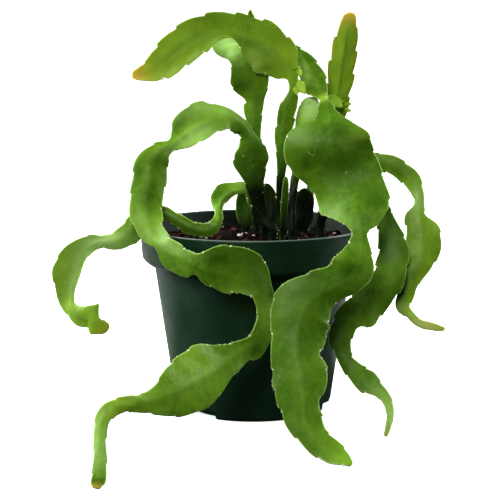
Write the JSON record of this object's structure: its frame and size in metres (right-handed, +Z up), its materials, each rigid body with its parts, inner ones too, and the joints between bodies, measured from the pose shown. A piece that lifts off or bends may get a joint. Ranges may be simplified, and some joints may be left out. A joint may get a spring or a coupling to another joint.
{
  "type": "potted orchid cactus",
  "caption": "Potted plant with curling, notched flat green stems that arch above and trail in front of a round dark green plastic nursery pot of bark potting mix.",
  "frame": {"origin": "middle of the pot's flat base, on the surface that the pot stands on", "axes": "+Z up; -Y towards the plant's fullest side, the side that the picture shows; +X to the right of someone who looks at that side"},
  "size_m": [0.2645, 0.2893, 0.2725],
  "materials": {
    "pot_green": "satin",
    "mix_brown": "matte",
    "stem_green": "satin"
  },
  "bodies": {
    "root": {"pot": "pot_green", "potting_mix": "mix_brown", "stem_left_long": "stem_green", "stem_left_outer": "stem_green", "stem_crown_arch": "stem_green", "stem_centre_short": "stem_green", "stem_right_upright": "stem_green", "stem_broad_front": "stem_green", "stem_right_outer": "stem_green", "stem_right_inner": "stem_green", "stem_back_left": "stem_green", "stem_back_middle": "stem_green", "stem_back_right": "stem_green", "stem_young_shoot": "stem_green"}
  },
  "joints": []
}
